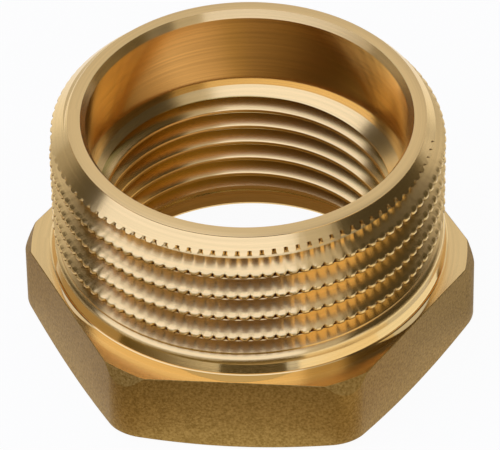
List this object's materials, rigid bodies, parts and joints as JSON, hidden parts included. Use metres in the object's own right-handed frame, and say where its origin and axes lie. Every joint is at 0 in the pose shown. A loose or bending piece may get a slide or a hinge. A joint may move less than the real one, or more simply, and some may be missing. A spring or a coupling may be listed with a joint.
{
  "type": "hex bushing",
  "caption": "Reducing hex bushing: outside pipe thread on a short barrel, hexagon flange with rounded corners, through bore with a counterbore and an inside pipe thread.",
  "frame": {"origin": "centre of the bore at the hexagon's bottom face", "axes": "+Z along the bore, from the hexagon towards the male thread; Y across two flats, X across two corners"},
  "size_m": [0.0384, 0.034, 0.022],
  "materials": {
    "brass": "bare brass: blasted matte hexagon, turned bright threads, fine turned rim and counterbore"
  },
  "bodies": {
    "root": {"bushing": "brass"}
  },
  "joints": []
}
